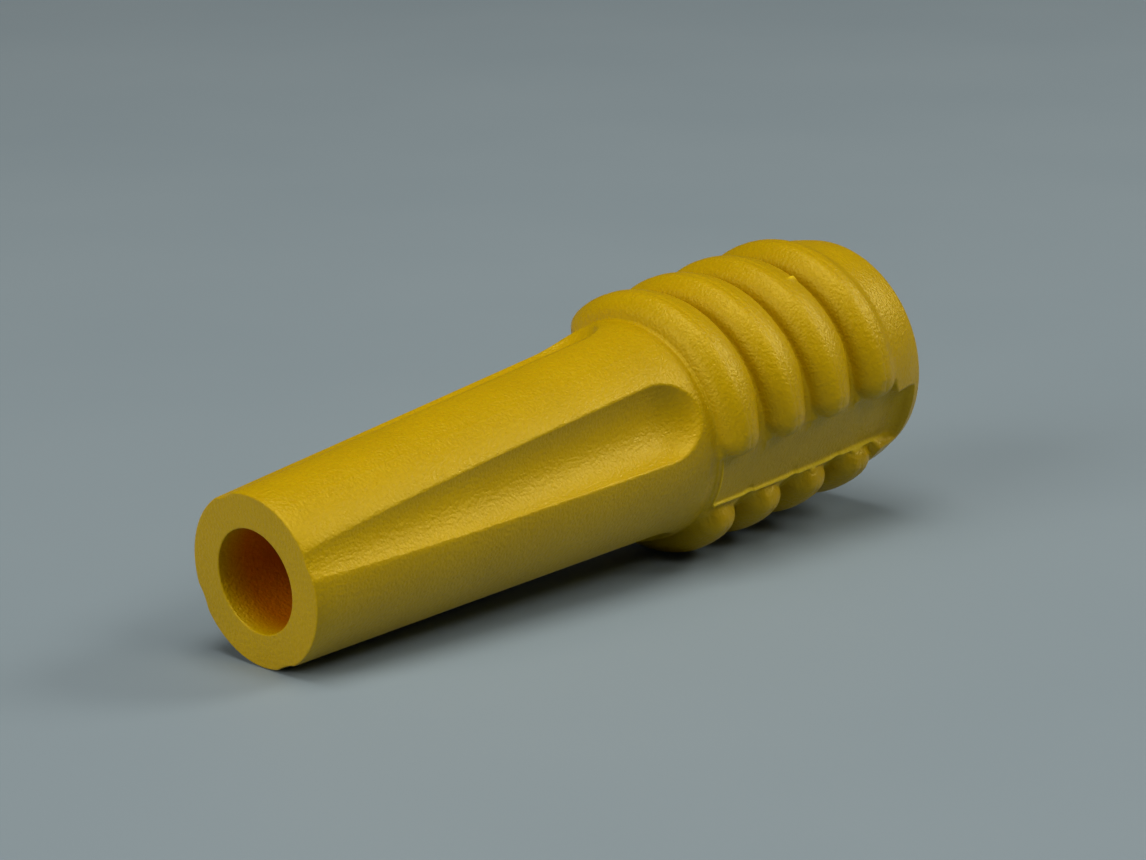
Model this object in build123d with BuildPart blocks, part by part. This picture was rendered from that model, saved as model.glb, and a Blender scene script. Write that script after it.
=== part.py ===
from build123d import *
import os
from math import acos, atan, cos, degrees, hypot, radians, sin, sqrt

# Pass-through twist-on wire connector, in millimetres.
# The axis is X: the nose face lies at x = 0 and the wide mouth opens towards +X.
# The connector lies on its side with +Z up, rolled so that one flat looks towards -Y and down.

# ---- shell: overall ----
SHELL_LENGTH = 40.2
NOSE_DIAMETER = 8.4
BORE_DIAMETER = 5.0
CORE_DIAMETER = 11.2         # end of the cone, and the valleys between the grip rings
CONE_LENGTH = 24.5
MOULD_ROLL = 23.0            # degrees from +Z to the parting plane, towards -Y

# ---- shell: grip rings, round on the nose side and falling gently towards the mouth ----
RING_COUNT = 4
RING_DIAMETER = 13.52
RING_PITCH = 3.434
FIRST_CREST = 26.05          # the top of the first ring
CREST_RADIUS = 2.6           # of the gentle fall behind each top
CREST_SWEEP = 35.0           # degrees of that fall
LAST_CREST_SWEEP = 14.0      # the last ring runs into the collar
FAR_SLOPE = 0.25             # length of the steep slope on the mouth side
CREST_ROUND = 0.2
VALLEY_ROUND = 0.2

# ---- shell: collar ----
COLLAR_START = 37.6
COLLAR_DIAMETER = 12.62      # where it starts
COLLAR_BEND = 39.0
COLLAR_BEND_DIAMETER = 12.24
RIM_DIAMETER = 11.65
RIM_ROUND = 0.35

# ---- shell: flutes along the cone ----
FLUTE_COUNT = 4
FLUTE_RADIUS = 2.9
FLUTE_OFFSET = 6.98          # from the axis to the centre line of a flute, at the nose face
FLUTE_TILT = 0.74            # degrees that the centre line leans away from the axis
FLUTE_END = 21.85            # centre of the ball that ends a flute

# ---- shell: the two flats across the grip rings ----
FLAT_HEIGHT = 5.48           # from the axis to a flat, at its nose end
FLAT_FALL = 0.15             # a flat leans in by this much towards the mouth
FLAT_WIDTH = 3.0
FLAT_START = 25.3
FLAT_END = 39.5
FLAT_END_ROUND = 0.8         # the flat curves up into its end wall, short of the rim
SHOULDER_RADIUS = 1.0        # the ring ends roll over with this radius beside a flat

# ---- shell: inside ----
SEAT_START = 24.0            # the bore's shoulder, where the spring stops
SEAT_LENGTH = 12.4
SEAT_SMALL_RADIUS = 3.4
SEAT_LARGE_RADIUS = 4.65
MOUTH_RADIUS = 4.95
MOUTH_CHAMFER = 0.3

# ---- grip spring: square wire wound on a cone ----
WIRE_SIZE = 0.9
SPRING_PITCH = 1.3
SPRING_TURNS = 8.5
SPRING_BITE = 0.04           # how far the wire presses into the seat

# ---- shared ----
CUT_MARGIN = 1.0             # how far a cutting shape runs past the surface it cuts
CUT_CLEARANCE = 0.03         # the cut between the ring ends stays this far off the core

os.makedirs("parts", exist_ok=True)

nose_radius = NOSE_DIAMETER / 2
core_radius = CORE_DIAMETER / 2
ring_radius = RING_DIAMETER / 2
collar_radius = COLLAR_DIAMETER / 2
bend_radius = COLLAR_BEND_DIAMETER / 2
rim_radius = RIM_DIAMETER / 2
ring_height = ring_radius - core_radius
last_crest = FIRST_CREST + (RING_COUNT - 1) * RING_PITCH

# The mould plane: its normal is +X, its own x lies in the parting plane, its own y faces a flat.
parting = (0, -sin(radians(MOULD_ROLL)), cos(radians(MOULD_ROLL)))
nose_face = Plane(origin=(0, 0, 0), x_dir=parting, z_dir=(1, 0, 0))
flat_side = Plane(origin=(0, 0, 0), x_dir=(1, 0, 0), z_dir=(0, -parting[1], -parting[2]))

# A ring's end beside a flat: an arc that rises from the core and meets the crest circle tangentially.
floor_radius = core_radius + CUT_CLEARANCE
foot = (FLAT_WIDTH / 2, sqrt(floor_radius**2 - FLAT_WIDTH**2 / 4))
centre_distance = ring_radius - SHOULDER_RADIUS
swing = acos(
    (floor_radius**2 + centre_distance**2 - SHOULDER_RADIUS**2) / (2 * floor_radius * centre_distance)
)
shoulder_angle = atan(foot[0] / foot[1]) + swing
shoulder_centre = (centre_distance * sin(shoulder_angle), centre_distance * cos(shoulder_angle))
shoulder_top = (ring_radius * sin(shoulder_angle), ring_radius * cos(shoulder_angle))
chord = (
    (foot[0] + shoulder_top[0]) / 2 - shoulder_centre[0],
    (foot[1] + shoulder_top[1]) / 2 - shoulder_centre[1],
)
shoulder_middle = tuple(
    centre + SHOULDER_RADIUS * part / hypot(*chord) for centre, part in zip(shoulder_centre, chord)
)


def behind_crest(crest, degrees_round):
    """The point on the gentle fall behind a ring's top, that many degrees round it."""
    turn = radians(degrees_round)
    return (crest + CREST_RADIUS * sin(turn), ring_radius - CREST_RADIUS * (1 - cos(turn)))


seat_end = SEAT_START + SEAT_LENGTH
bore_points = [
    (-CUT_MARGIN, 0),
    (-CUT_MARGIN, BORE_DIAMETER / 2),
    (SEAT_START, BORE_DIAMETER / 2),
    (SEAT_START, SEAT_SMALL_RADIUS),
    (seat_end, SEAT_LARGE_RADIUS),
    (seat_end, MOUTH_RADIUS),
    (SHELL_LENGTH - MOUTH_CHAMFER, MOUTH_RADIUS),
    (SHELL_LENGTH + MOUTH_CHAMFER, MOUTH_RADIUS + 2 * MOUTH_CHAMFER),
    (SHELL_LENGTH + MOUTH_CHAMFER, 0),
]

# ---- the shape that cuts one flute: a round bar with a ball end, standing on the nose face ----
diagonal = FLUTE_RADIUS * sin(radians(45))
with BuildPart() as flute_cutter:
    with BuildSketch(Plane.XZ):
        with BuildLine():
            Polyline(
                (0, FLUTE_END + FLUTE_RADIUS),
                (0, -CUT_MARGIN),
                (FLUTE_RADIUS, -CUT_MARGIN),
                (FLUTE_RADIUS, FLUTE_END),
            )
            ThreePointArc(
                (FLUTE_RADIUS, FLUTE_END),
                (diagonal, FLUTE_END + diagonal),
                (0, FLUTE_END + FLUTE_RADIUS),
            )
        make_face()
    revolve(axis=Axis.Z)

# ---- shell: one moulding, turned about X, then fluted, flattened and bored ----
with BuildPart() as shell:
    with BuildSketch(Plane.XY) as outer_half:
        with BuildLine():
            Polyline((0, 0), (0, nose_radius), (CONE_LENGTH, core_radius))
            reached = (CONE_LENGTH, core_radius)
            for ring in range(RING_COUNT):
                crest = FIRST_CREST + ring * RING_PITCH
                fall = CREST_SWEEP if crest < last_crest else LAST_CREST_SWEEP
                near_foot = (crest - ring_height, core_radius)
                crest_end = behind_crest(crest, fall)
                Line(reached, near_foot)
                ThreePointArc(
                    near_foot,
                    (crest - ring_height * cos(radians(45)), core_radius + ring_height * sin(radians(45))),
                    (crest, ring_radius),
                )
                ThreePointArc((crest, ring_radius), behind_crest(crest, fall / 2), crest_end)
                if crest < last_crest:
                    reached = (crest_end[0] + FAR_SLOPE, core_radius)
                    Line(crest_end, reached)
            Polyline(
                crest_end,
                (COLLAR_START, collar_radius),
                (COLLAR_BEND, bend_radius),
                (SHELL_LENGTH, rim_radius),
                (SHELL_LENGTH, 0),
                (0, 0),
            )
        make_face()
        feet = outer_half.vertices().filter_by(
            lambda v: v.X > CONE_LENGTH + 0.01 and abs(v.Y - core_radius) < 0.001
        )
        fillet(feet, radius=VALLEY_ROUND)
        far_edge = behind_crest(0, CREST_SWEEP)[1]
        crest_ends = outer_half.vertices().filter_by(lambda v: abs(v.Y - far_edge) < 0.001)
        fillet(crest_ends, radius=CREST_ROUND)
        rim = outer_half.vertices().filter_by(
            lambda v: v.X > SHELL_LENGTH - 0.01 and abs(v.Y - rim_radius) < 0.01
        )
        fillet(rim, radius=RIM_ROUND)
    revolve(axis=Axis.X)

    # four flutes at 45 degrees to the parting plane, each leaning outwards
    with Locations(nose_face):
        with PolarLocations(FLUTE_OFFSET, FLUTE_COUNT, start_angle=45):
            with Locations(Location((0, 0, 0), (0, FLUTE_TILT, 0))):
                add(flute_cutter.part, mode=Mode.SUBTRACT)

    # two opposite flats: a shallow pocket, and rounded ends on the rings beside it
    for side in (1, -1):
        with BuildSketch(flat_side) as pocket:
            with BuildLine():
                Polyline(
                    (FLAT_START, side * FLAT_HEIGHT),
                    (FLAT_END, side * (FLAT_HEIGHT - FLAT_FALL)),
                    (FLAT_END, side * (ring_radius + CUT_MARGIN)),
                    (FLAT_START, side * (ring_radius + CUT_MARGIN)),
                    close=True,
                )
            make_face()
            end_corner = pocket.vertices().filter_by(
                lambda v: v.X > FLAT_END - 0.01 and abs(v.Y) < FLAT_HEIGHT + 0.01
            )
            fillet(end_corner, radius=FLAT_END_ROUND)
        extrude(amount=FLAT_WIDTH / 2, both=True, mode=Mode.SUBTRACT)

        with BuildSketch(nose_face.offset(CONE_LENGTH)):
            with BuildLine():
                ThreePointArc(
                    (-foot[0], side * foot[1]),
                    (0, side * floor_radius),
                    (foot[0], side * foot[1]),
                )
                for hand in (1, -1):
                    ThreePointArc(
                        (hand * foot[0], side * foot[1]),
                        (hand * shoulder_middle[0], side * shoulder_middle[1]),
                        (hand * shoulder_top[0], side * shoulder_top[1]),
                    )
                    Line(
                        (hand * shoulder_top[0], side * shoulder_top[1]),
                        (hand * shoulder_top[0], side * (ring_radius + CUT_MARGIN)),
                    )
                Line(
                    (-shoulder_top[0], side * (ring_radius + CUT_MARGIN)),
                    (shoulder_top[0], side * (ring_radius + CUT_MARGIN)),
                )
            make_face()
        extrude(amount=COLLAR_START - CONE_LENGTH, mode=Mode.SUBTRACT)

    # the nose bore, the tapered seat of the spring and the plain mouth
    with BuildSketch(Plane.XY):
        with BuildLine():
            Polyline(*bore_points, close=True)
        make_face()
    revolve(axis=Axis.X, mode=Mode.SUBTRACT)

shell.part.label = "shell"
export_step(shell.part, "parts/shell.step")

# ---- grip spring: a right-hand helix that widens towards the mouth ----
seat_angle = degrees(atan((SEAT_LARGE_RADIUS - SEAT_SMALL_RADIUS) / SEAT_LENGTH))
wire_radius = SEAT_SMALL_RADIUS - WIRE_SIZE / 2 + SPRING_BITE
wire_start = SEAT_START + WIRE_SIZE / 2

with BuildPart() as grip_spring:
    with BuildLine() as winding:
        Helix(
            pitch=SPRING_PITCH,
            height=SPRING_PITCH * SPRING_TURNS,
            radius=wire_radius,
            center=(wire_start, 0, 0),
            direction=(1, 0, 0),
            cone_angle=seat_angle,
        )
    coil = winding.line
    with BuildSketch(Plane(origin=coil @ 0, x_dir=(1, 0, 0), z_dir=coil % 0)):
        Rectangle(WIRE_SIZE, WIRE_SIZE)
    sweep(path=coil, is_frenet=True)

grip_spring.part.label = "grip_spring"
export_step(grip_spring.part, "parts/grip_spring.step")
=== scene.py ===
from math import acos, asin, atan, cos, degrees, hypot, pi, radians, sin, tan

import bpy
import numpy as np
from mathutils import Matrix, Vector


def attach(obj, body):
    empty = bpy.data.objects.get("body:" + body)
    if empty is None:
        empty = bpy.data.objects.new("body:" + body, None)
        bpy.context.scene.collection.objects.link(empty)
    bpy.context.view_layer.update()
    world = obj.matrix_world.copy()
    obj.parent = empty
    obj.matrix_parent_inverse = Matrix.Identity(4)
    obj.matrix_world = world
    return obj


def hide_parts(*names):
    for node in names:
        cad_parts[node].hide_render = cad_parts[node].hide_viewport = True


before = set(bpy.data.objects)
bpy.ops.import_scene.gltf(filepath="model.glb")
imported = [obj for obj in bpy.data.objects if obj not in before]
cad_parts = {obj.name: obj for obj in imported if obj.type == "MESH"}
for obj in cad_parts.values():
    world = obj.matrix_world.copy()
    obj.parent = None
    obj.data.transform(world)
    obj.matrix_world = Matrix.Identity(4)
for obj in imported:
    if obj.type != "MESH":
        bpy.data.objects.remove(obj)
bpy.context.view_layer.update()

MM = 0.001

# ---- the connector's dimensions, in millimetres, as the CAD part has them ----
SHELL_LENGTH = 40.2
NOSE_RADIUS = 4.2
BORE_RADIUS = 2.5
CORE_RADIUS = 5.6
CONE_LENGTH = 24.5
MOULD_ROLL = 23.0            # degrees from +Z to the parting plane, towards -Y

RING_COUNT = 4
RING_RADIUS = 6.76
RING_PITCH = 3.434
FIRST_CREST = 26.05
CREST_RADIUS = 2.6           # of the gentle fall behind each top
CREST_SWEEP = 35.0           # degrees of that fall
LAST_CREST_SWEEP = 14.0
FAR_SLOPE = 0.25

COLLAR_START = 37.6
COLLAR_RADIUS = 6.31
COLLAR_BEND = 39.0
COLLAR_BEND_RADIUS = 6.12
RIM_RADIUS = 5.825
RIM_ROUND = 0.35

FLUTE_RADIUS = 2.9
FLUTE_OFFSET = 6.98
FLUTE_TILT = 0.74            # degrees that a flute's centre line leans away from the axis
FLUTE_END = 21.85

FLAT_HEIGHT = 5.48
FLAT_FALL = 0.15             # a flat leans in by this much towards the mouth
FLAT_HALF_WIDTH = 1.5
FLAT_START = 25.3
FLAT_END = 39.5
FLAT_END_ROUND = 0.8
SHOULDER_RADIUS = 1.0

SEAT_START = 24.0
SEAT_LENGTH = 12.4
SEAT_SMALL_RADIUS = 3.4
SEAT_LARGE_RADIUS = 4.65
MOUTH_RADIUS = 4.95
MOUTH_CHAMFER = 0.3

WIRE_SIZE = 0.9
SPRING_PITCH = 1.3
SPRING_TURNS = 8.5
SPRING_BITE = 0.04

# ---- small moulding details that only the visual model has ----
EDGE_ROUND = 0.07            # every crisp moulded edge is this soft
CUT_SOFT = 0.05              # softness of the flutes' and flats' edges
RING_END_SOFT = 0.25         # softness where the rings roll over beside a flat
RING_END_SPREAD = 0.08       # the gap between the ring ends is this much wider a side than the flat
RING_END_FLOOR = 0.03        # and its floor is this far above the core
TIP_ROUNDNESS = 0.75         # how ball-like the ring ends are: 0 plain crossing curves, 1 a ball
VALLEY_DROP = 0.06           # the valleys between the rings run down to a corner this deep
NEAR_EDGE = 0.40             # a faint step runs this far before each crest
NEAR_STEP = 0.06             # how far it drops
NEAR_RAMP = 0.12             # over this length
TAPER_FROM = 52.0            # the rings grow slimmer from this far off a flat's middle, in degrees,
TAPER_TO = 24.0              # down to this far
TAPER_NEAR = 0.20            # how much the near and far sides have come in by then
TAPER_FAR = 0.38
TAPER_RUN = 1.2              # the far side's share of a crest's fall that it reaches over
CORNER_WEAR = 0.08           # how far the corners of the grip rings are worn down
SEAM_ANGLE = 3.5             # degrees from the mould plane to the parting line
SEAM_HEIGHT = 0.015
SEAM_WIDTH = 0.07
NEAR_FLAT = 60               # flash runs round the near flat only, within these degrees of its middle
LIP_HEIGHT = 0.20            # flash along the lower edge of the flat
LIP_WIDTH = 0.11
LIP_OUT = 0.02               # its crest is this far outside the edge
LIP_FADE = 2.2               # it dies away over this length at the mouth end
COLLAR_LIP_HEIGHT = 0.10     # flash along the flat's upper edge, on the collar only
COLLAR_LIP_START = 37.0
STEP_HEIGHT = 0.09           # flash along the nose edge of the flat
STEP_WIDTH = 0.07
STEP_OUT = 0.03
STEP_PAST = 0.35             # how far it runs past the flat's corners
STEP_SQUARE = 0.25           # power that holds its height nearly to its ends
WITNESS_BACK = 0.08          # a witness line runs this far behind each crest
WITNESS_DEPTH = 0.022
WITNESS_WIDTH = 0.15
WITNESS_FROM = 0.55          # height above the core where it starts to show
WITNESS_RISE = 0.40
FLASH_HIGHLIGHT_FULL = 0.09            # painted highlight: flash this high is lightened fully, standing in for light glowing through it
FLASH_HIGHLIGHT_FAINT = 0.2            # below this share of that height it gets no painted highlight
BURR_RING = 2                # a scrap of flash on the parting line of the third ring
BURR_HEIGHT = 0.16
BURR_BACK = 1.0
BURR_LENGTH = 0.62
BURR_WIDTH = 0.14
BURR_SKEW = 0.15
BORE_SHADE_START = 0.1            # painted shade: the bore's deeper orange stands in for light lost between its walls, and starts this far in from either end
BORE_SHADE_LENGTH = 1.5           # and is full after this much more

# ---- the spring's wire ----
CORNER_ROUND = 0.14
CUT_END_SIZE = 0.86          # its cut ends are slightly drawn in

# ---- fineness of the meshes ----
FINE_START = 21.5            # the shell's rows are closer from here to the mouth
PATH_STEP = 0.02
SOFT_SPAN = 2.5              # a worn corner is averaged out to this many times its wear
CONE_STEP = 0.6
FLUTE_END_STEP = 0.075
GRIP_STEP = 0.122
INNER_STEP = 1.6
FLAT_ROW_STEP = 0.022        # rows beside the flat's nose edge
WITNESS_ROW_STEP = 0.06
RING_NEAR_STEPS = 18
RING_FAR_STEPS = 8
RIM_LEAD = 0.1               # plain surface kept beside the rounded edges of the rim and the nose
RIM_FACE_LEAD = 0.03
NOSE_LEAD = 0.05
NOSE_MIDDLE_OUT = 0.2        # a row runs round the nose face, this far outside its middle
BALL_FOLLOWED = 1.65         # the columns follow a flute's edge this far round the ball that ends it
TURN_STEPS = 72
CORNER_STEPS = 4

# ---- shapes cut out of a turned surface ----
NO_CUT = 99.0                # a distance that cuts nothing
FLUTE_WALL_SLOPE = 12        # how fast a cut's distance grows past its edges
FLAT_WALL_SLOPE = 40
FLAT_END_SLOPE = 8
RING_END_SLOPE = 4
FLAT_REACH = 0.6             # radians from a flat's middle where its plane is no longer followed

ring_height = RING_RADIUS - CORE_RADIUS
far_length = CREST_RADIUS * sin(radians(CREST_SWEEP))
crests = [FIRST_CREST + ring * RING_PITCH for ring in range(RING_COUNT)]
seat_end = SEAT_START + SEAT_LENGTH


def rounded_path(corners, steps=5):
    """A polyline of (x, r, round) corners with each corner turned into an arc of `steps` pieces."""
    path = [corners[0][:2]]
    for before, here, after in zip(corners, corners[1:], corners[2:]):
        p = Vector(here[:2])
        a = (Vector(before[:2]) - p).normalized()
        b = (Vector(after[:2]) - p).normalized()
        if here[2] == 0:
            path.append(tuple(p))
            continue
        half = a.angle(b) / 2
        reach = here[2] / tan(half)
        centre = p + (a + b).normalized() * (here[2] / sin(half))
        start, end = p + a * reach - centre, p + b * reach - centre
        turn = start.angle_signed(end)
        for i in range(steps + 1):
            t = -turn * i / steps
            path.append(
                (
                    centre.x + start.x * cos(t) - start.y * sin(t),
                    centre.y + start.x * sin(t) + start.y * cos(t),
                )
            )
    path.append(corners[-1][:2])
    return path


def divided(path, step):
    """The path with no piece longer than step(x)."""
    found = [path[0]]
    for (x0, r0), (x1, r1) in zip(path, path[1:]):
        n = max(1, round(hypot(x1 - x0, r1 - r0) / step((x0 + x1) / 2)))
        found += [(x0 + (x1 - x0) * i / n, r0 + (r1 - r0) * i / n) for i in range(1, n + 1)]
    return found


def outer_step(x):
    """Row spacing: coarse on the plain cone, finest where the flutes end."""
    if x < FINE_START:
        return CONE_STEP
    return FLUTE_END_STEP if x < CONE_LENGTH else GRIP_STEP


def with_rows(path, xs):
    """The path with extra points where it passes each x in xs."""
    found = [path[0]]
    for (x0, r0), (x1, r1) in zip(path, path[1:]):
        found += [(x, r0 + (r1 - r0) * (x - x0) / (x1 - x0)) for x in xs if x0 < x < x1]
        found.append((x1, r1))
    return found


def softened(path, step, reach):
    """The path resampled every `step`, with its corners worn down over about `reach`."""
    x, r = np.array(path).T
    run = np.concatenate([[0], np.cumsum(np.hypot(np.diff(x), np.diff(r)))])
    at = np.linspace(0, run[-1], round(run[-1] / step) + 1)
    fine = np.stack([np.interp(at, run, x), np.interp(at, run, r)], 1)
    half = round(SOFT_SPAN * reach / step)
    weight = np.exp(-0.5 * (np.arange(-half, half + 1) * step / reach) ** 2)
    weight /= weight.sum()
    middle = np.stack([np.convolve(fine[:, i], weight, "valid") for i in (0, 1)], 1)
    return [tuple(p) for p in np.concatenate([fine[:half], middle, fine[-half:]])]


# ---- the shell's outline: up the outside from the nose, round the rim, back down the inside ----
cone_slope = (CORE_RADIUS - NOSE_RADIUS) / CONE_LENGTH
cone_path = [(x, NOSE_RADIUS + cone_slope * x) for x in (EDGE_ROUND, FINE_START, CONE_LENGTH - 0.5)]
grip_path = [cone_path[-1], (CONE_LENGTH, CORE_RADIUS)]
for crest in crests:
    last = crest == crests[-1]
    if crest != crests[0]:
        grip_path[-1] = (grip_path[-1][0], CORE_RADIUS - VALLEY_DROP)
    for turn in np.linspace(pi / 2, 0, RING_NEAR_STEPS + 1):
        before = ring_height * sin(turn)
        step = NEAR_STEP * min(1, max(0, (before - NEAR_EDGE) / NEAR_RAMP))
        grip_path.append((crest - before, CORE_RADIUS + ring_height * cos(turn) - step))
    sweep = radians(LAST_CREST_SWEEP if last else CREST_SWEEP)
    for turn in np.linspace(0, sweep, RING_FAR_STEPS + 1)[1:]:
        grip_path.append((crest + CREST_RADIUS * sin(turn), RING_RADIUS - CREST_RADIUS * (1 - cos(turn))))
    if not last:
        grip_path.append((grip_path[-1][0] + FAR_SLOPE, CORE_RADIUS))
grip_path += [(COLLAR_START, COLLAR_RADIUS), (COLLAR_BEND, COLLAR_BEND_RADIUS)]
rim_slope = (RIM_RADIUS - COLLAR_BEND_RADIUS) / (SHELL_LENGTH - COLLAR_BEND)
before_rim = RIM_ROUND + RIM_LEAD
near_rim = (SHELL_LENGTH - RIM_ROUND - RIM_LEAD, RIM_RADIUS - before_rim * rim_slope)
grip_path.append(near_rim)
rim_face = (SHELL_LENGTH, RIM_RADIUS - RIM_ROUND - RIM_FACE_LEAD, 0)
rim_corners = [(*near_rim, 0), (SHELL_LENGTH, RIM_RADIUS, RIM_ROUND), rim_face]
whole_path = cone_path[:2] + softened(grip_path, PATH_STEP, CORNER_WEAR) + rounded_path(rim_corners)[1:]


def thinned(path, step):
    """The points of the path that lie about step(x) apart, always keeping the last."""
    kept, run = [path[0]], 0.0
    for before, here in zip(path, path[1:]):
        run += hypot(here[0] - before[0], here[1] - before[1])
        if run > step(here[0]):
            kept.append(here)
            run = 0.0
    return kept if kept[-1] == path[-1] else kept + [path[-1]]


extra_rows = [FLAT_START + FLAT_ROW_STEP * i for i in range(-5, 6)]
extra_rows += [crest + WITNESS_BACK + WITNESS_ROW_STEP * i for crest in crests for i in range(-2, 3)]
fine_path = divided(whole_path, lambda x: PATH_STEP if x > FINE_START else CONE_STEP)
outer = with_rows(thinned(fine_path, outer_step), extra_rows)

# the nose's outer edge, as how far back along x and down in r from the cone's start
edge_arc = [(EDGE_ROUND * (1 - sin(t)), EDGE_ROUND * (1 - cos(t))) for t in (pi / 2, pi / 3, pi / 6)]
nose_edge = [(0.0, EDGE_ROUND + NOSE_LEAD)] + edge_arc

inner_corners = [
    rim_face,
    (SHELL_LENGTH, MOUTH_RADIUS + MOUTH_CHAMFER, EDGE_ROUND),
    (SHELL_LENGTH - MOUTH_CHAMFER, MOUTH_RADIUS, EDGE_ROUND),
    (seat_end, MOUTH_RADIUS, EDGE_ROUND),
    (seat_end, SEAT_LARGE_RADIUS, EDGE_ROUND),
    (SEAT_START, SEAT_SMALL_RADIUS, EDGE_ROUND),
    (SEAT_START, BORE_RADIUS, EDGE_ROUND),
    (0.0, BORE_RADIUS, EDGE_ROUND),
    (0.0, BORE_RADIUS + EDGE_ROUND + NOSE_LEAD, 0),
    (0.0, (BORE_RADIUS + NOSE_RADIUS) / 2 + NOSE_MIDDLE_OUT, 0),
]
inner = divided(rounded_path(inner_corners, 3), lambda x: INNER_STEP)[1:]

# ---- columns round the axis, gathered along the edges of the flutes and flats ----
def flute_half_angle(x):
    """Degrees from the middle of a flute to its edge on the cone."""
    x = min(x, FLUTE_END + BALL_FOLLOWED)
    r = NOSE_RADIUS + cone_slope * x
    c = FLUTE_OFFSET + min(x, FLUTE_END) * tan(radians(FLUTE_TILT))
    reach = FLUTE_RADIUS**2 - max(0.0, x - FLUTE_END) ** 2
    return degrees(acos((r * r + c * c - reach) / (2 * r * c)))


def flat_height(x):
    """From the axis to a flat's floor."""
    return FLAT_HEIGHT - FLAT_FALL * min(1, max(0, (x - FLAT_START) / (FLAT_END - FLAT_START)))


def flat_half(x):
    """Half the flat's width where it meets the core."""
    return min(FLAT_HALF_WIDTH, (CORE_RADIUS**2 - flat_height(x) ** 2) ** 0.5)


def gathered(a, b, n, at_a, at_b):
    """The starts of n cells from a to b: finer towards an end by its factor."""
    t = (np.arange(n) + 0.5) / n
    w = 1 / (1 + at_a * (1 - t) ** 3 + at_b * t**3)
    edges = np.concatenate([[0], np.cumsum(w)]) / w.sum()
    return (a + (b - a) * edges)[:-1]


def quadrant(x):
    """Column angles from the mould plane (0) to just short of the middle of a flat (90).

    Each run has its number of cells, and how much finer they are at its two ends.
    """
    h = flute_half_angle(x)
    edge = 90 - degrees(atan(flat_half(x) / flat_height(x)))
    return np.concatenate(
        [
            gathered(0, SEAM_ANGLE, 6, 0, 1.0),
            gathered(SEAM_ANGLE, 45 - h, 13, 2.0, 1.5),
            gathered(45 - h, 45, 17, 2.5, 0),
            gathered(45, 45 + h, 17, 0, 2.5),
            gathered(45 + h, edge, 14, 0.5, 2.5),
            gathered(edge, 90, 13, 3.0, 0),
        ]
    )


def columns(x):
    """All the column angles once round, in degrees from the mould plane."""
    q = quadrant(x)
    mirrored = np.concatenate([q, [90], 180 - q[:0:-1]])
    return np.concatenate([mirrored, mirrored + 180])


def smooth_min(a, b, soft):
    """The smaller of a and b, blended where they are within `soft` of each other."""
    h = np.clip(0.5 + 0.5 * (b - a) / soft, 0, 1)
    return b + (a - b) * h - soft * h * (1 - h)


def bump(t):
    """1 at 0, falling smoothly to 0 at 1 and beyond."""
    t = np.clip(np.abs(t), 0, 1)
    return (1 - t * t) ** 2


def flute_surface(x, angle):
    """Distance from the axis to the flutes' surface."""
    reach = FLUTE_RADIUS**2 - max(0.0, x - FLUTE_END) ** 2
    if reach <= 0:
        return np.full_like(angle, NO_CUT)
    centre = FLUTE_OFFSET + min(x, FLUTE_END) * tan(radians(FLUTE_TILT))
    off = np.radians((angle % 90) - 45)
    side = centre * np.abs(np.sin(off))
    inside = np.sqrt(np.maximum(reach - side**2, 0))
    past = np.maximum(side - reach**0.5, 0)
    return centre * np.cos(off) - inside + past * FLUTE_WALL_SLOPE


# a ring's end beside a flat: an arc that rises from the core and meets the crest circle
ring_floor = CORE_RADIUS + RING_END_FLOOR
centre_distance = RING_RADIUS - SHOULDER_RADIUS
foot_angle = asin((FLAT_HALF_WIDTH + RING_END_SPREAD) / ring_floor)
shoulder_angle = foot_angle + acos(
    (ring_floor**2 + centre_distance**2 - SHOULDER_RADIUS**2) / (2 * ring_floor * centre_distance)
)


def ring_end_surface(x, angle):
    """Distance from the axis to the gap between the ring ends, and to the ends themselves."""
    if x < CONE_LENGTH - 0.1 or x > COLLAR_START + 0.5:
        return np.full_like(angle, NO_CUT)
    off = np.abs(np.radians((angle % 180) - 90))
    turn = off - shoulder_angle
    arc = centre_distance * np.cos(turn) + np.sqrt(
        np.maximum(SHOULDER_RADIUS**2 - (centre_distance * np.sin(turn)) ** 2, 0)
    )
    rise = max(0.0, x - COLLAR_START) * RING_END_SLOPE
    surface = np.where(off < foot_angle, ring_floor, arc) + rise
    return np.where(turn < 0, surface, NO_CUT)


def flat_surface(x, angle):
    """Distance from the axis to a flat's floor and walls."""
    off = np.abs(np.radians((angle % 180) - 90))
    height = flat_height(x)
    if x > FLAT_END - FLAT_END_ROUND:
        run = min(x, FLAT_END) - (FLAT_END - FLAT_END_ROUND)
        height += FLAT_END_ROUND - (FLAT_END_ROUND**2 - run * run) ** 0.5
    height += max(0.0, x - FLAT_END) * FLAT_END_SLOPE + max(0.0, FLAT_START - x) * FLAT_END_SLOPE
    wall = np.maximum(off - atan(FLAT_HALF_WIDTH / flat_height(x)), 0) * FLAT_WALL_SLOPE
    return height / np.cos(np.minimum(off, FLAT_REACH)) + wall


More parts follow.
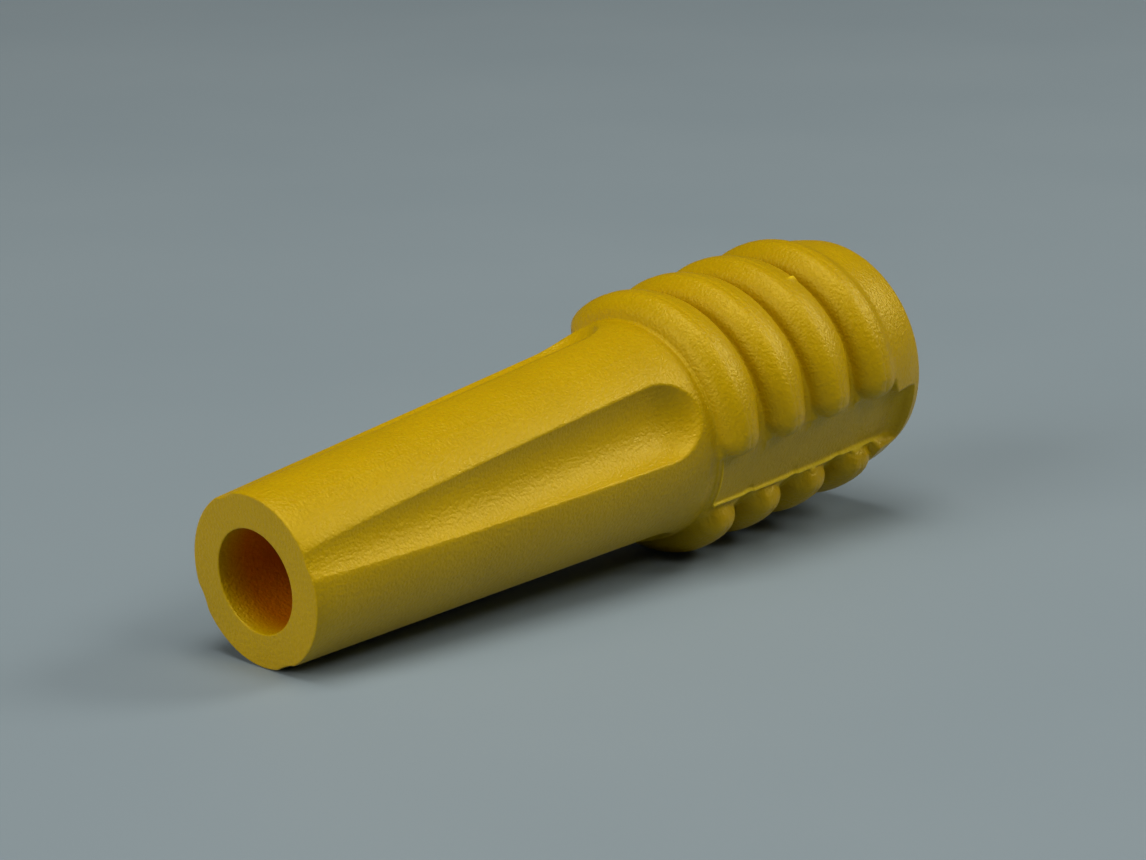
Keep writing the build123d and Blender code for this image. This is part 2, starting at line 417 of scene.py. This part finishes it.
def details(x, angle, r):
    """Flash, parting lines and witness lines, in millimetres to add to r."""
    add = np.zeros_like(r)
    seam = ((angle - SEAM_ANGLE + 90) % 180 - 90) * np.pi / 180 * r
    add += SEAM_HEIGHT * bump(seam / SEAM_WIDTH)
    across = r * np.sin(np.radians(angle - 90))
    facing = np.abs((angle + 90) % 360 - 180) < NEAR_FLAT
    if FLAT_START - STEP_OUT < x < FLAT_END:
        fade = min(1.0, (FLAT_END - x) / LIP_FADE)
        lower = (across - flat_half(x) - LIP_OUT) / LIP_WIDTH
        add += LIP_HEIGHT * fade * bump(lower) * facing
        if x > COLLAR_LIP_START:
            upper = (across + flat_half(x) + LIP_OUT) / LIP_WIDTH
            add += COLLAR_LIP_HEIGHT * fade * bump(upper) * facing
    step = bump(across / (flat_half(FLAT_START) + STEP_PAST)) ** STEP_SQUARE
    add += STEP_HEIGHT * (bump((x - FLAT_START + STEP_OUT) / STEP_WIDTH) * step) * facing
    on_ring = np.clip((r - CORE_RADIUS - WITNESS_FROM) / WITNESS_RISE, 0, 1)
    for crest in crests:
        add -= WITNESS_DEPTH * bump((x - crest - WITNESS_BACK) / WITNESS_WIDTH) * on_ring
    past = x - crests[BURR_RING] - BURR_BACK
    burr = bump(past / BURR_LENGTH), bump((seam + BURR_SKEW * past) / BURR_WIDTH)
    add += BURR_HEIGHT * burr[0] * burr[1] * (angle < 180)
    return add


def ring_tip(r, end):
    """The grip's surface r cut by the ring ends' surface, with ball-like tips."""
    plain = smooth_min(r, end, RING_END_SOFT)
    f = np.clip((r - CORE_RADIUS) / ring_height, 0, 1)
    g = np.clip((end - CORE_RADIUS) / ring_height, 0, 1)
    ball = CORE_RADIUS + ring_height * np.sqrt(np.maximum(f * f + g * g - 1, 0))
    return plain + TIP_ROUNDNESS * np.minimum(0, ball - plain)


def taper(x, angle):
    """How much slimmer the first rings are near the flats."""
    off = np.abs((angle % 180) - 90)
    amount = np.clip((TAPER_FROM - off) / (TAPER_FROM - TAPER_TO), 0, 1)
    amount = amount * amount * (3 - 2 * amount)
    for crest in crests[:-1]:
        if crest - ring_height < x <= crest:
            return TAPER_NEAR * amount * ((crest - x) / ring_height) ** 2
        if crest < x < crest + TAPER_RUN * far_length:
            return TAPER_FAR * amount * ((x - crest) / far_length) ** 2
    return 0 * amount


def outer_surface(x, r, angle):
    """The outer surface's distance from the axis, and how much of it gets a painted highlight (0 to 1),
    standing in for light glowing through the moulding fins.
    """
    slim = np.maximum(r - taper(x, angle), min(r, CORE_RADIUS))
    cut = smooth_min(slim, flute_surface(x, angle), CUT_SOFT)
    cut = ring_tip(cut, ring_end_surface(x, angle))
    cut = smooth_min(cut, flat_surface(x, angle), CUT_SOFT)
    add = details(x, angle, cut)
    return cut + add, np.clip(add / FLASH_HIGHLIGHT_FULL - FLASH_HIGHLIGHT_FAINT, 0, 1)


def direction(angle):
    """The outward direction at that many degrees from the mould plane, as its Y and Z parts."""
    t = np.radians(angle + MOULD_ROLL)
    return -np.sin(t), np.cos(t)


# ---- shell: one closed mesh, row by row ----
points = []
painted_flash_highlight = []                   # painted highlight: 1 on thin flash, lightened to stand in for light glowing through it
painted_bore_shade = []                   # painted shade: 0 outside, 1 well inside the bore or the seat, where it turns a deeper orange


def add_row(x, r, angle, painted_glow, bore_shade_amount):
    """One ring of points round the axis, with their painted highlight and painted bore shade values."""
    y, z = direction(angle)
    points.append(np.stack([np.full_like(r, x), y * r, z * r], 1))
    painted_flash_highlight.append(painted_glow)
    painted_bore_shade.append(np.full_like(angle, bore_shade_amount))


for back, drop in nose_edge:
    angle = columns(0.0)
    r, painted_glow = outer_surface(EDGE_ROUND, NOSE_RADIUS, angle)
    add_row(back, r - drop, angle, painted_glow, 0.0)
for x, r in outer:
    angle = columns(x)
    if x < SHELL_LENGTH - 0.001:
        surface, painted_glow = outer_surface(x, r, angle)
        add_row(x, surface, angle, painted_glow, 0.0)
    else:
        add_row(x, np.full_like(angle, r), angle, 0 * angle, 0.0)
for x, r in inner:
    angle = columns(x)
    # painted shade: the bore and the seat turn a deeper orange away from their ends
    bore_shade_amount = min(1, max(0, min(x, SHELL_LENGTH - x) - BORE_SHADE_START) / BORE_SHADE_LENGTH)
    add_row(x, np.full_like(angle, r), angle, 0 * angle, bore_shade_amount)

n_col = len(points[0])
n_row = len(points)
row = np.arange(n_row)[:, None]
col = np.arange(n_col)[None, :]
here = row * n_col + col
right = row * n_col + (col + 1) % n_col
up = (row + 1) % n_row * n_col + col
up_right = (row + 1) % n_row * n_col + (col + 1) % n_col
faces = np.stack([here, right, up_right, up], 2).reshape(-1, 4)


def mesh_object(name, verts, quads, material):
    """A new smooth-shaded object with that mesh and material."""
    mesh = bpy.data.meshes.new(name)
    mesh.from_pydata([tuple(v) for v in verts], [], [tuple(q) for q in quads])
    mesh.polygons.foreach_set("use_smooth", [True] * len(mesh.polygons))
    mesh.materials.append(material)
    mesh.validate()
    mesh.update()
    obj = bpy.data.objects.new(name, mesh)
    bpy.context.scene.collection.objects.link(obj)
    return obj


# ---- materials ----
def new_material(name):
    """A material with one Principled shader, its nodes and links, the shader and the object coordinates."""
    material = bpy.data.materials.new(name)
    material.use_nodes = True
    nodes = material.node_tree.nodes
    links = material.node_tree.links
    nodes.clear()
    out = nodes.new("ShaderNodeOutputMaterial")
    shader = nodes.new("ShaderNodeBsdfPrincipled")
    links.new(shader.outputs["BSDF"], out.inputs["Surface"])
    coords = nodes.new("ShaderNodeTexCoord").outputs["Object"]
    return material, nodes, links, shader, coords


def noise(nodes, links, coords, scale, detail, roughness=0.5):
    node = nodes.new("ShaderNodeTexNoise")
    node.inputs["Scale"].default_value = scale
    node.inputs["Detail"].default_value = detail
    node.inputs["Roughness"].default_value = roughness
    links.new(coords, node.inputs["Vector"])
    return node.outputs["Fac"]


def spread(nodes, links, value, low, high):
    """The middle of a noise's range stretched to run from low to high."""
    node = nodes.new("ShaderNodeMapRange")
    node.inputs["From Min"].default_value = 0.3
    node.inputs["From Max"].default_value = 0.7
    node.inputs["To Min"].default_value = low
    node.inputs["To Max"].default_value = high
    links.new(value, node.inputs["Value"])
    return node.outputs["Result"]


def added(nodes, links, first, second):
    node = nodes.new("ShaderNodeMath")
    node.operation = "ADD"
    links.new(first, node.inputs[0])
    links.new(second, node.inputs[1])
    return node.outputs[0]


def mixed(nodes, links, factor, first, second):
    """Two colours mixed by the factor. The first may also be another node's output."""
    node = nodes.new("ShaderNodeMix")
    node.data_type = "RGBA"
    links.new(factor, node.inputs["Factor"])
    if isinstance(first, tuple):
        node.inputs["A"].default_value = first
    else:
        links.new(first, node.inputs["A"])
    node.inputs["B"].default_value = second
    return node.outputs["Result"]


def roughen(nodes, links, shader, height, strength, distance):
    """Fine relief on the shader's surface, `distance` in millimetres."""
    node = nodes.new("ShaderNodeBump")
    node.inputs["Strength"].default_value = strength
    node.inputs["Distance"].default_value = distance * MM
    links.new(height, node.inputs["Height"])
    links.new(node.outputs["Normal"], shader.inputs["Normal"])


def mesh_value(nodes, name):
    """A value that the mesh carries at each point."""
    node = nodes.new("ShaderNodeAttribute")
    node.attribute_name = name
    return node.outputs["Fac"]


def plastic():
    """Opaque yellow plastic from a spark-eroded mould: a fine pitted grain under a satin gloss, with
    painted shade inside the bore and a painted highlight on the moulding fins.
    """
    material, nodes, links, shader, coords = new_material("yellow_plastic")
    cells = nodes.new("ShaderNodeTexVoronoi")
    cells.inputs["Scale"].default_value = 6500
    cells.feature = "SMOOTH_F1"
    links.new(coords, cells.inputs["Vector"])
    fine = noise(nodes, links, coords, 9000, 3.0, 0.65)
    grain = added(nodes, links, cells.outputs["Distance"], fine)
    roughen(nodes, links, shader, grain, 0.8, 0.035)

    cloud = spread(nodes, links, noise(nodes, links, coords, 160, 3.0), 0.0, 0.6)
    speck = spread(nodes, links, noise(nodes, links, coords, 5200, 1.0), 0.0, 0.4)
    uneven = added(nodes, links, cloud, speck)
    colour = mixed(nodes, links, uneven, (0.43, 0.272, 0.0, 1), (0.53, 0.338, 0.0, 1))
    # painted shade: a deeper orange inside the bore and the seat, standing in for light lost between the
    # walls
    colour = mixed(nodes, links, mesh_value(nodes, "painted_bore_shade"), colour, (0.58, 0.17, 0.0, 1))
    # painted highlight: flash is lightened to stand in for light glowing through the thin plastic
    colour = mixed(nodes, links, mesh_value(nodes, "painted_flash_highlight"), colour, (0.85, 0.60, 0.02, 1))
    links.new(colour, shader.inputs["Base Color"])
    links.new(spread(nodes, links, fine, 0.25, 0.42), shader.inputs["Roughness"])
    shader.inputs["IOR"].default_value = 1.49
    shader.inputs["Specular IOR Level"].default_value = 0.65
    shader.inputs["Specular Tint"].default_value = (1.0, 0.82, 0.25, 1)
    shader.inputs["Subsurface Weight"].default_value = 0.06
    shader.inputs["Subsurface Radius"].default_value = (1.0, 0.45, 0.05)
    shader.inputs["Subsurface Scale"].default_value = 0.5 * MM
    return material


def zinc():
    """Zinc-plated drawn wire: bright, faintly blue, with dull specks."""
    material, nodes, links, shader, coords = new_material("zinc_wire")
    fine = noise(nodes, links, coords, 7000, 3.0)
    cloud = spread(nodes, links, noise(nodes, links, coords, 900, 3.0), 0.0, 1.0)
    colour = mixed(nodes, links, cloud, (0.42, 0.44, 0.47, 1), (0.66, 0.68, 0.70, 1))
    links.new(colour, shader.inputs["Base Color"])
    shader.inputs["Metallic"].default_value = 1.0
    links.new(spread(nodes, links, fine, 0.22, 0.46), shader.inputs["Roughness"])
    roughen(nodes, links, shader, fine, 0.25, 0.01)
    return material


def floor_material():
    material, nodes, links, shader, coords = new_material("pale_floor")
    cloud = noise(nodes, links, coords, 30, 3.0)
    colour = mixed(nodes, links, cloud, (0.22, 0.28, 0.46, 1), (0.25, 0.31, 0.50, 1))
    links.new(colour, shader.inputs["Base Color"])
    shader.inputs["Roughness"].default_value = 0.6
    shader.inputs["Specular IOR Level"].default_value = 0.25
    return material


shell = mesh_object("shell_moulding", np.concatenate(points) * MM, faces, plastic())
# the mesh carries the painted flash highlight and the painted bore shade
for name, values in (("painted_flash_highlight", painted_flash_highlight), ("painted_bore_shade", painted_bore_shade)):
    attribute = shell.data.attributes.new(name, "FLOAT", "POINT")
    attribute.data.foreach_set("value", np.concatenate(values))
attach(shell, "root")
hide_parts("shell")

# ---- grip spring: square wire with rounded corners, wound on the seat's taper ----
seat_slope = (SEAT_LARGE_RADIUS - SEAT_SMALL_RADIUS) / SEAT_LENGTH
wire_radius = SEAT_SMALL_RADIUS - WIRE_SIZE / 2 + SPRING_BITE
wire_start = SEAT_START + WIRE_SIZE / 2
corner_centre = WIRE_SIZE / 2 - CORNER_ROUND
section = []
for corner in range(4):
    cx = corner_centre * (1 if corner in (0, 3) else -1)
    cy = corner_centre * (1 if corner in (0, 1) else -1)
    for i in range(CORNER_STEPS + 1):
        t = corner * pi / 2 + i / CORNER_STEPS * pi / 2
        section.append((cx + CORNER_ROUND * cos(t), cy + CORNER_ROUND * sin(t)))
n_sec = len(section)
n_turn = round(SPRING_TURNS * TURN_STEPS)
wire_points = []
for i in range(n_turn + 1):
    turn = 2 * pi * i / TURN_STEPS + pi / 2
    x = wire_start + SPRING_PITCH * i / TURN_STEPS
    r = wire_radius + (x - wire_start) * seat_slope
    outward = Vector((0, cos(turn), sin(turn)))
    along = Vector((SPRING_PITCH / (2 * pi), 0, 0)) + r * Vector((0, -sin(turn), cos(turn)))
    side = along.normalized().cross(outward).normalized()
    size = CUT_END_SIZE if i in (0, n_turn) else 1.0
    for u, v in section:
        p = Vector((x, 0, 0)) + outward * (r + u * size) + side * (v * size)
        wire_points.append(p * MM)
wire_faces = []
for i in range(n_turn):
    for j in range(n_sec):
        a, b = i * n_sec + j, i * n_sec + (j + 1) % n_sec
        wire_faces.append((a, b, b + n_sec, a + n_sec))
wire_faces.append(tuple(range(n_sec))[::-1])
wire_faces.append(tuple(n_turn * n_sec + j for j in range(n_sec)))
spring = mesh_object("grip_spring_wire", wire_points, wire_faces, zinc())
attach(spring, "root")
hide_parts("grip_spring")

# ---- floor: the connector rests on its nose and on the first ring ----
FLOOR_HALF = 1.5             # metres
FLOOR_GAP = 0.02
rest_tilt = atan((RING_RADIUS - NOSE_RADIUS) / FIRST_CREST)
up_dir = Vector((sin(rest_tilt), 0, cos(rest_tilt)))
floor_point = Vector((0, 0, -NOSE_RADIUS * MM)) - up_dir * (FLOOR_GAP * MM)
floor_corners = [(sx * FLOOR_HALF, sy * FLOOR_HALF, 0) for sx, sy in ((-1, -1), (1, -1), (1, 1), (-1, 1))]
floor = mesh_object("floor", floor_corners, [(0, 1, 2, 3)], floor_material())
floor.matrix_world = Matrix.Translation(floor_point) @ Matrix.Rotation(rest_tilt, 4, "Y")

# ---- camera: beyond the nose, looking down along the connector, level with the floor ----
CAMERA_AT = Vector((-92.15, -115.58, 55.66)) * MM
CAMERA_RIGHT = Vector((0.69665, -0.71380, -0.07196))
CAMERA_FORWARD = Vector((0.66178, 0.67811, -0.31971))
camera_data = bpy.data.cameras.new("camera")
camera_data.lens = 109.95
camera_data.sensor_width = 36
camera_data.clip_start = 0.005
camera_data.clip_end = 10
camera = bpy.data.objects.new("camera", camera_data)
bpy.context.scene.collection.objects.link(camera)
forward = CAMERA_FORWARD.normalized()
right_dir = (CAMERA_RIGHT - forward * CAMERA_RIGHT.dot(forward)).normalized()
top = right_dir.cross(forward)
turn = Matrix((right_dir, top, -forward)).transposed().to_4x4()
camera.matrix_world = Matrix.Translation(CAMERA_AT) @ turn
bpy.context.scene.camera = camera


# ---- lights ----
AIM = Vector((20, 0, 0)) * MM


def softbox(name, toward, distance, size, power, colour):
    """A square light that faces the connector from the direction `toward`."""
    data = bpy.data.lights.new(name, "AREA")
    data.shape = "RECTANGLE"
    data.size = size
    data.size_y = size
    data.energy = power
    data.color = colour
    lamp = bpy.data.objects.new(name, data)
    bpy.context.scene.collection.objects.link(lamp)
    away = Vector(toward).normalized()
    facing = away.to_track_quat("Z", "Y").to_matrix().to_4x4()
    lamp.matrix_world = Matrix.Translation(AIM + away * distance) @ facing


softbox("window", (0.75, -0.40, 0.53), 0.6, 0.22, 1.3, (1, 0.95, 0.60))
softbox("side window", (0.14, -0.72, 0.67), 0.6, 0.16, 0.5, (1, 0.95, 0.60))
softbox("overhead", (-0.05, -0.10, 0.99), 0.7, 0.42, 3.2, (1, 0.96, 0.62))
softbox("nose fill", (-0.86, 0.10, 0.50), 0.7, 0.40, 2.4, (1, 0.95, 0.62))

world = bpy.data.worlds.new("studio")
world.use_nodes = True
background = world.node_tree.nodes["Background"]
background.inputs["Color"].default_value = (0.80, 0.88, 1.0, 1)
background.inputs["Strength"].default_value = 0.02
bpy.context.scene.world = world
bpy.context.scene.view_settings.view_transform = "Standard"
